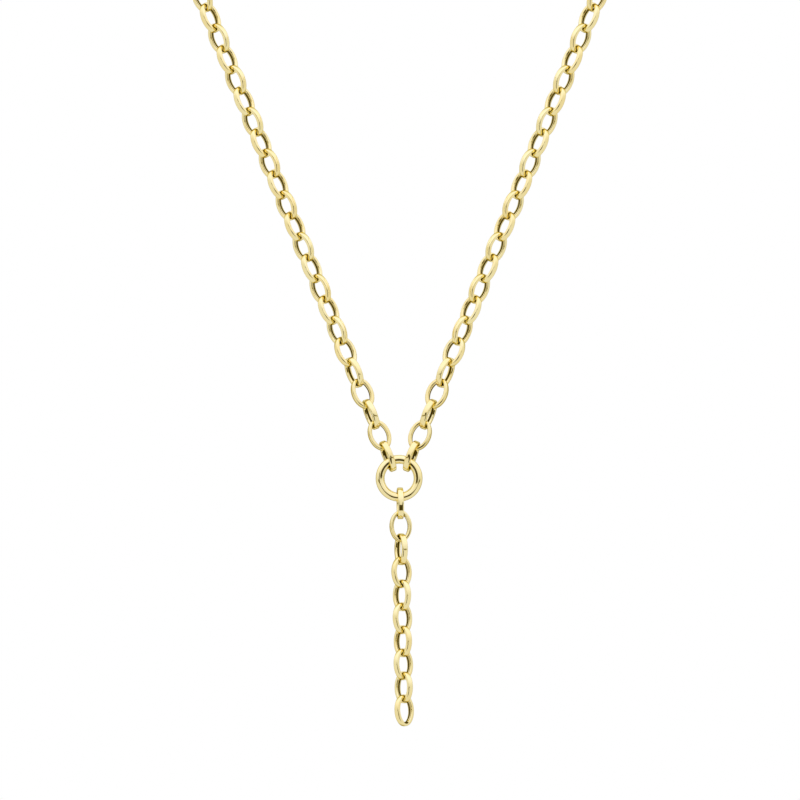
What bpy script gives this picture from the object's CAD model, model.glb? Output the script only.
from math import acos, atan2, cos, hypot, pi, radians, sin, sqrt

import bmesh
import bpy
from mathutils import Matrix, Vector


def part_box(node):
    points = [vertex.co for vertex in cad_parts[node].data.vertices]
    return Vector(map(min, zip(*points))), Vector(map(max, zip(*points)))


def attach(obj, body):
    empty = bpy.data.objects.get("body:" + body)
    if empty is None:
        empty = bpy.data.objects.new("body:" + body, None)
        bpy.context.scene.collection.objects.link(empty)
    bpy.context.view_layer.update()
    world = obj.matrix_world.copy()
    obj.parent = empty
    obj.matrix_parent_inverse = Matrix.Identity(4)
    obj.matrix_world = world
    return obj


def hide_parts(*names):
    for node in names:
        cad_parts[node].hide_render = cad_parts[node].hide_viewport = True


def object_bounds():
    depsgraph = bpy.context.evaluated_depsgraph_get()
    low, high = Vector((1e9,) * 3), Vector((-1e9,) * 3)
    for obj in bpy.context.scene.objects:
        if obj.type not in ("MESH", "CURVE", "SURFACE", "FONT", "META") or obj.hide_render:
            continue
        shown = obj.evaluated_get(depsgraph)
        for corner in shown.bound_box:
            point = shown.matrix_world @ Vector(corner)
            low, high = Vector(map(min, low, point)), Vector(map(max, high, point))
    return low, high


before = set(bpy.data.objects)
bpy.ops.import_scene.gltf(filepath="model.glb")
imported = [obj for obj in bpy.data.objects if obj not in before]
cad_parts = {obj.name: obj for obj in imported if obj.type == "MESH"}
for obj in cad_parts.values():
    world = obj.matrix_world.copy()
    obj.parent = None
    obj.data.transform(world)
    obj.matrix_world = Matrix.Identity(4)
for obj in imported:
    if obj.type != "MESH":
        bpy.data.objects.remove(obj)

cad_low, cad_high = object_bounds()
mm = 0.001

# The camera looks at the V and the drop from a little below, through a long lens, so that
# the links on their sides lean the way they do in the picture. The V fills the square frame
# over both of its sides and cuts them off at the top.
ring_low, ring_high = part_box("centre_ring")
ring_mid = (ring_low + ring_high) / 2
picture_mid = ring_mid + Vector((0.22, 0, 19.7)) * mm
camera_drop = radians(7)
camera_reach = 5.0
picture_width = 200 * mm
to_camera = Vector((0, -cos(camera_drop), -sin(camera_drop)))
picture_up = Vector((0, -sin(camera_drop), cos(camera_drop)))

camera_data = bpy.data.cameras.new("camera")
camera_data.sensor_width = 36
camera_data.lens = camera_data.sensor_width * camera_reach / picture_width
camera_data.clip_start = 0.05
camera_data.clip_end = 50
camera = bpy.data.objects.new("camera", camera_data)
camera.location = picture_mid + camera_reach * to_camera
camera.rotation_euler = (-to_camera).to_track_quat("-Z", "Y").to_euler()
bpy.context.scene.collection.objects.link(camera)
bpy.context.scene.camera = camera


# The gold is a thick pale yellow plate over brass, polished bright on every link. Up close it
# has faint waves from the polishing wheel, hairline marks from wear and a slightly uneven tone.
# Where the wheel can't reach, along the middle of a link's inner side, it stays dull and dark.
pale_gold = (0.97, 0.84, 0.33, 1)
deep_gold = (0.96, 0.79, 0.275, 1)
dull_gold = (0.07, 0.045, 0.0, 1)
edge_gold = (0.87, 0.77, 0.26, 1)
mark_depth = 0.02 * mm


class Tone:
    """A value or a colour on its way through the nodes of one finish."""

    def __init__(self, tree, socket=None):
        self.tree = tree
        self.socket = socket

    def node(self, kind, settings, sockets, out=0):
        made = self.tree.nodes.new(kind)
        for name, value in settings.items():
            setattr(made, name, value)
        for name, value in sockets.items():
            if isinstance(value, Tone):
                self.tree.links.new(value.socket, made.inputs[name])
            else:
                made.inputs[name].default_value = value
        return Tone(self.tree, made.outputs[out]) if made.outputs else None

    def math(self, operation, first, second):
        return self.node("ShaderNodeMath", {"operation": operation}, {0: first, 1: second})

    def __add__(self, other):
        return self.math("ADD", self, other)

    def __radd__(self, other):
        return self.math("ADD", other, self)

    def __sub__(self, other):
        return self.math("SUBTRACT", self, other)

    def __rsub__(self, other):
        return self.math("SUBTRACT", other, self)

    def __mul__(self, other):
        return self.math("MULTIPLY", self, other)

    def __rmul__(self, other):
        return self.math("MULTIPLY", other, self)

    def step(self, low, high):
        """0 under low, 1 over high and smooth between them."""
        settings = {"interpolation_type": "SMOOTHSTEP"}
        return self.node("ShaderNodeMapRange", settings,
                         {"Value": self, "From Min": low, "From Max": high})

    def mix(self, share, first, second):
        """The first colour where share is 0 and the second where it is 1."""
        return self.node("ShaderNodeMix", {"data_type": "RGBA"},
                         {0: share, 6: first, 7: second}, out=2)

    def vector(self, operation, first, second, out=0):
        return self.node("ShaderNodeVectorMath", {"operation": operation},
                         {0: first, 1: second}, out=out)


def gold_finish(name, wave_size):
    finish = bpy.data.materials.new(name)
    finish.use_nodes = True
    finish.node_tree.nodes.clear()
    tone = Tone(finish.node_tree)
    place = tone.node("ShaderNodeTexCoord", {}, {}, out="Object")
    uneven = tone.node("ShaderNodeTexNoise", {},
                       {"Vector": place, "Scale": 160.0, "Detail": 2.0})
    waves = tone.node("ShaderNodeTexNoise", {},
                      {"Vector": place, "Scale": 1 / wave_size, "Detail": 1.0})
    drawn = tone.node("ShaderNodeMapping", {}, {"Vector": place, "Rotation": (0.5, 0.9, 0.3),
                                                "Scale": (9000.0, 900.0, 900.0)})
    marks = tone.node("ShaderNodeTexNoise", {}, {"Vector": drawn, "Scale": 1.0, "Detail": 3.0})
    colour = tone.mix(uneven.step(0.35, 0.65), deep_gold, pale_gold)
    unpolished = tone.node("ShaderNodeAttribute", {"attribute_name": "unpolished"}, {},
                           out="Fac").step(0.56, 0.7)
    colour = tone.mix(unpolished, colour, dull_gold)
    roughness = (0.05 + 0.05 * marks.step(0.45, 0.75) + 0.03 * uneven.step(0.4, 0.7)
                 + 0.2 * unpolished)
    relief = tone.node("ShaderNodeBump", {}, {"Strength": 0.25, "Distance": mark_depth,
                                              "Height": waves + 0.03 * marks})
    metal = tone.node("ShaderNodeBsdfPrincipled", {},
                      {"Base Color": colour, "Metallic": 1.0, "Roughness": roughness,
                       "Specular Tint": edge_gold, "Normal": relief})
    tone.node("ShaderNodeOutputMaterial", {}, {"Surface": metal})
    return finish


link_gold = gold_finish("link_gold", wave_size=2.5 * mm)


# The neck chain is made of oval links of flattened wire, flat on its outside and bowed on its
# inside, each link soldered shut round the next. From the ring each side runs up as one arm of
# the V, bends back over the shoulder and turns round the neck to the clasp.
link_length = 8.1 * mm
link_width = 5.55 * mm
wire_thick = 1.01 * mm
wire_wide = 1.46 * mm
outside_round = 0.28 * mm
inside_round = 0.1 * mm
inside_bow = 1.3 * mm
bow_steps = 8
link_steps = 56
# An oval bent from wire is a little slacker than an ellipse between its ends and its sides.
oval_slack = 0.0125
nearby = 0.001


def oval_link(length, end_extra, end_bow):
    """One link, long along Z and with its faces towards -Y and +Y."""
    half_long = (length - wire_thick) / 2
    half_wide = (link_width - wire_thick) / 2
    mean = (half_long + half_wide) / 2

    def oval(turn):
        reach = 1 - oval_slack * sin(2 * turn) ** 2
        return Vector((half_wide * cos(turn), 0, half_long * sin(turn))) * reach

    shape = bmesh.new()
    outside = [shape.verts.new((mean + wire_thick / 2, y, 0))
               for y in (-wire_wide / 2, wire_wide / 2)]
    inside = []
    for step in range(bow_steps + 1):
        y = wire_wide * (0.5 - step / bow_steps)
        bow = inside_bow - sqrt(inside_bow ** 2 - y ** 2)
        inside.append(shape.verts.new((mean - wire_thick / 2 + bow, y, 0)))
    shape.faces.new(outside + inside)
    for corners, radius in ((outside, outside_round), ((inside[0], inside[-1]), inside_round)):
        bmesh.ops.bevel(shape, geom=corners, offset=radius, offset_type="OFFSET",
                        affect="VERTICES", segments=3, profile=0.5, material=-1)
    bmesh.ops.delete(shape, geom=shape.faces[:], context="FACES_ONLY")
    bmesh.ops.spin(shape, geom=shape.verts[:] + shape.edges[:], cent=(0, 0, 0), axis=(0, 1, 0),
                   angle=2 * pi, steps=link_steps, use_merge=True)
    # The round loop of wire is pressed to the oval. It keeps its thickness, but for a little more
    # and a rounder bow on the inside of both ends.
    unpolished = shape.verts.layers.float.new("unpolished")
    for point in shape.verts:
        turn = atan2(point.co.z, point.co.x)
        out = hypot(point.co.x, point.co.z) - mean
        if out < 0:
            at_end = sin(turn) ** 4
            point[unpolished] = max(1 - abs(point.co.y) / (wire_wide / 2), 0.85 * at_end)
            out -= (end_extra - end_bow * (out + wire_thick / 2)) * at_end
        along = (oval(turn + nearby) - oval(turn - nearby)).normalized()
        middle = oval(turn)
        point.co = Vector((middle.x + out * along.z, point.co.y, middle.z - out * along.x))
    bmesh.ops.recalc_face_normals(shape, faces=shape.faces[:])
    mesh = bpy.data.meshes.new("oval_link")
    shape.to_mesh(mesh)
    shape.free()
    return mesh


# In the V and the drop the ends of the links have settled close round each other, so that no
# light shows between them. High in the drop, where the links turn most, they need more room.
settled_length = link_length - 0.15 * mm
loose_shape = oval_link(link_length, end_extra=0, end_bow=0)
side_shape = oval_link(settled_length, end_extra=0.09 * mm, end_bow=0.4)
drop_shape = oval_link(settled_length, end_extra=0.05 * mm, end_bow=0.4)
twisted_shape = oval_link(settled_length, end_extra=0, end_bow=0.6)


def linked(name, links, mirrored=False):
    """A run of links as one piece."""
    run = bmesh.new()
    for mesh, place in links:
        made = len(run.verts)
        run.from_mesh(mesh)
        run.verts.ensure_lookup_table()
        bmesh.ops.transform(run, matrix=place, verts=run.verts[made:])
    if mirrored:
        middle = Matrix.Translation((v_mid.x, 0, 0))
        across = middle @ Matrix.Diagonal((-1, 1, 1, 1)) @ middle.inverted()
        bmesh.ops.transform(run, matrix=across, verts=run.verts[:])
        bmesh.ops.recalc_face_normals(run, faces=run.faces[:])
    return piece_of(name, run, link_gold)


def piece_of(name, shape, finish):
    mesh = bpy.data.meshes.new(name)
    shape.to_mesh(mesh)
    shape.free()
    for face in mesh.polygons:
        face.use_smooth = True
    mesh.materials.append(finish)
    piece = bpy.data.objects.new(name, mesh)
    bpy.context.scene.collection.objects.link(piece)
    flats = piece.modifiers.new("flats", "WEIGHTED_NORMAL")
    flats.keep_sharp = False
    return piece


side_links = 44
side_pitch = 5.68 * mm
side_angle = radians(21.9)
first_link = Vector((2.95, 0, 5.55)) * mm
straight = 125 * mm
shoulder_radius = 24 * mm
climb = radians(18)
clasp_reach = 7 * mm
v_mid = ring_mid + Vector((0.15 * mm, 0, 0))
# How far, in degrees, the links are turned, and over how many of them the turn grows.
turn_at_ring = 13
turn_in_side = 46
turning_links = 8
turning_links_at_clasp = 16

up_side = Vector((sin(side_angle), 0, cos(side_angle)))
back = Vector((0, cos(climb), sin(climb)))
inward = Vector((-1, 0, 0))


def turned(radius, start, to, angle):
    """Step along an arc that starts along one direction and turns towards another."""
    across = (to - start.dot(to) * start).normalized()
    return radius * (sin(angle) * start + (1 - cos(angle)) * across)


shoulder_turn = acos(up_side.dot(back))
shoulder = shoulder_radius * shoulder_turn
bend_start = first_link + straight * up_side
bend_end = bend_start + turned(shoulder_radius, up_side, back, shoulder_turn)
neck_radius = bend_end.x - clasp_reach
side_length = (side_links - 1) * side_pitch
run_back = side_length - straight - shoulder - neck_radius * pi / 2
neck_start = bend_end + run_back * back


def settled_turn(first, settled, share):
    """A turn in degrees that grows smoothly from its first value to its settled one."""
    share = min(1, max(0, share))
    return first + (settled - first) * share * share * (3 - 2 * share)


def side_turn(number):
    """Odd links stand edge-on and even links face-on, but for a turn that fades at the clasp."""
    from_ring = settled_turn(turn_at_ring, turn_in_side, (number - 1) / turning_links)
    from_clasp = settled_turn(0, turn_in_side, (side_links - number) / turning_links_at_clasp)
    turn = min(from_ring, from_clasp)
    return radians(90 - turn if number % 2 else -turn)


def side_place(number):
    up = (number - 1) * side_pitch
    past_bend = up - straight - shoulder
    at_shoulder = min(shoulder_turn, max(0, (up - straight) / shoulder_radius))
    at_neck = max(0, (past_bend - run_back) / neck_radius)
    if up < straight:
        spot = first_link + up * up_side
    elif past_bend < 0:
        spot = bend_start + turned(shoulder_radius, up_side, back, at_shoulder)
    elif at_neck == 0:
        spot = bend_end + past_bend * back
    else:
        spot = neck_start + turned(neck_radius, back, inward, at_neck)
    return (Matrix.Translation(v_mid + spot)
            @ Matrix.Rotation(at_neck, 4, back.cross(inward))
            @ Matrix.Rotation(at_shoulder, 4, up_side.cross(back))
            @ Matrix.Rotation(side_angle, 4, "Y")
            @ Matrix.Rotation(side_turn(number), 4, "Z"))


settled_links = 22
side_run = [(side_shape if 1 < number <= settled_links else loose_shape, side_place(number))
            for number in range(1, side_links + 1)]
for name in ("neck_chain_left", "neck_chain_right"):
    side = linked(name + "_links", side_run, mirrored=name.endswith("left"))
    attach(side, "root")
    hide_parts(name)


# The centre ring is a plain closed ring of round wire, thicker than the links, polished all
# over. Inside its crest it is worn to a narrow flat, in front and at the back, where the first
# link of each side and of the drop hang in it.
ring_wire = 2.2 * mm
ring_outside = (ring_high.x - ring_low.x) / 2
wire_steps = 56
ring_steps = 112
worn_from = -0.42
worn_to = -0.02
flat_edge = radians(10)
ring_gold = gold_finish("ring_gold", wave_size=6 * mm)

ring = bmesh.new()
loop = bmesh.ops.create_circle(ring, cap_ends=False, radius=ring_wire / 2, segments=wire_steps)
worn = [point for point in loop["verts"] if worn_from < point.co.x / (ring_wire / 2) < worn_to]
bmesh.ops.dissolve_verts(ring, verts=worn)
bmesh.ops.translate(ring, verts=ring.verts[:], vec=(ring_outside - ring_wire / 2, 0, 0))
bmesh.ops.spin(ring, geom=ring.verts[:] + ring.edges[:], cent=(0, 0, 0), axis=(0, 1, 0),
               angle=2 * pi, steps=ring_steps, use_merge=True)
for edge in ring.edges:
    edge.smooth = edge.calc_face_angle() < flat_edge
bmesh.ops.translate(ring, verts=ring.verts[:], vec=ring_mid)
bmesh.ops.recalc_face_normals(ring, faces=ring.faces[:])
centre_ring = piece_of("centre_ring_round", ring, ring_gold)
centre_ring.modifiers["flats"].keep_sharp = True
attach(centre_ring, "root")
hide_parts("centre_ring")


# The drop is ten of the same oval links, each hanging free in the one above. It hangs straight
# down from the ring with a slight lean, and its links settle to a regular twist.
drop_links = 10
drop_pitch = 5.78 * mm
drop_start = 6.3 * mm
drop_lean = radians(1.1)
turn_at_drop_top = 5
turn_in_drop = 42
turning_drop_links = 4

for number in range(1, drop_links + 1):
    turn = settled_turn(turn_at_drop_top, turn_in_drop, (number - 1) / turning_drop_links)
    place = (Matrix.Translation(v_mid)
             @ Matrix.Rotation(-drop_lean, 4, "Y")
             @ Matrix.Translation((0, 0, -drop_start - (number - 1) * drop_pitch))
             @ Matrix.Rotation(radians(turn - 90 if number % 2 else turn), 4, "Z"))
    shape = twisted_shape if 1 < number <= turning_drop_links else drop_shape
    drop_link = linked(f"drop_link_{number:02d}_oval", [(shape, place)])
    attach(drop_link, "root")
    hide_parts(f"drop_link_{number:02d}")


# The clasp at the nape is out of the picture. It is one plain plate with a hook's opening for
# one side and an eye for the other, its edges rounded and polished like the links.
clasp_gold = gold_finish("clasp_gold", wave_size=4 * mm)
plate = bmesh.new()
plate.from_mesh(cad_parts["clasp"].data)
bmesh.ops.remove_doubles(plate, verts=plate.verts[:], dist=0.002 * mm)
clasp = piece_of("clasp_plate", plate, clasp_gold)
clasp.modifiers.remove(clasp.modifiers["flats"])
edges = clasp.modifiers.new("edges", "BEVEL")
edges.width = 0.3 * mm
edges.segments = 3
edges.limit_method = "ANGLE"
edges.angle_limit = radians(60)
flats = clasp.modifiers.new("flats", "WEIGHTED_NORMAL")
flats.keep_sharp = False
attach(clasp, "root")
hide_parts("clasp")


# The studio is a white room with soft light from all round, and cooler and brighter boxes above.
# The floor is pale and plain. In front, round the lens, the camera's wooden stand is dark, and a
# grey shelf runs on both sides of it. Only the polished metal mirrors the stand and the shelf.
floor_drop = 0.7
floor_reach = 6
floor = bmesh.new()
bmesh.ops.create_grid(floor, x_segments=1, y_segments=1, size=floor_reach)
bmesh.ops.translate(floor, verts=floor.verts[:], vec=(0, 0, cad_low.z - floor_drop))
paper = bpy.data.materials.new("floor_paper")
paper.use_nodes = True
paper.node_tree.nodes.clear()
tone = Tone(paper.node_tree)
white = tone.node("ShaderNodeBsdfPrincipled", {},
                  {"Base Color": (0.93, 0.93, 0.92, 1), "Roughness": 0.85})
tone.node("ShaderNodeOutputMaterial", {}, {"Surface": white})
floor_mesh = bpy.data.meshes.new("floor")
floor.to_mesh(floor_mesh)
floor.free()
floor_mesh.materials.append(paper)
floor = bpy.data.objects.new("floor", floor_mesh)
bpy.context.scene.collection.objects.link(floor)
floor.visible_glossy = False

white_light = (1, 1, 1, 1)
wood_light = (1, 0.78, 0.15, 1)
room_light = (1, 1, 1.3, 1)
box_light = (0.99, 1.01, 1.6, 1)
room = bpy.data.worlds.new("white_room")
room.use_nodes = True
room.node_tree.nodes.clear()
bpy.context.scene.world = room
tone = Tone(room.node_tree)
seen = tone.node("ShaderNodeTexCoord", {}, {}, out="Generated")
halfway = tone.node("ShaderNodeVectorMath", {"operation": "NORMALIZE"},
                    {0: tone.vector("ADD", seen, to_camera)})
tilt_right = tone.vector("DOT_PRODUCT", halfway, (1, 0, 0), out="Value")
tilt_up = tone.vector("DOT_PRODUCT", halfway, picture_up, out="Value")
towards = tone.vector("DOT_PRODUCT", seen, to_camera, out="Value")
stand_foot = 0.055 - 0.365 * tilt_right.step(-0.235, -0.15)
stand_top = 0.2 - 0.2 * tilt_right.step(-0.2, -0.02) + 0.14 * tilt_right.step(0.16, 0.2)
stand = ((tilt_up - stand_foot).step(0, 0.03) * (1 - (tilt_up - stand_top).step(-0.03, 0))
         * tilt_right.step(-0.31, -0.27) * (1 - tilt_right.step(0.24, 0.28)))
aside = tilt_right.math("ABSOLUTE", tilt_right, 0)
shelf = (tilt_up.step(0, 0.04) * (1 - tilt_up.step(0.06, 0.1))
         * aside.step(0.2, 0.26) * (1 - aside.step(0.4, 0.6)))
dome = (0.86 + 0.3 * tilt_up.step(0.05, 0.5)) * (0.6 + 0.4 * towards.step(-0.7, -0.4))
seen_level = dome * (1 - 0.93 * stand) * (1 - 0.75 * shelf)
mirrored = tone.node("ShaderNodeLightPath", {}, {}, out="Is Glossy Ray")
level = 1 + mirrored * (seen_level - 1)
light = tone.mix(level.step(0, 0.8), wood_light, room_light)
light = tone.mix(level.step(0.75, 1.15), light, box_light)
light = tone.mix(mirrored, white_light, light)
glow = tone.node("ShaderNodeBackground", {}, {"Color": light, "Strength": level})
tone.node("ShaderNodeOutputWorld", {}, {"Surface": glow})
bpy.context.scene.view_settings.view_transform = "Standard"
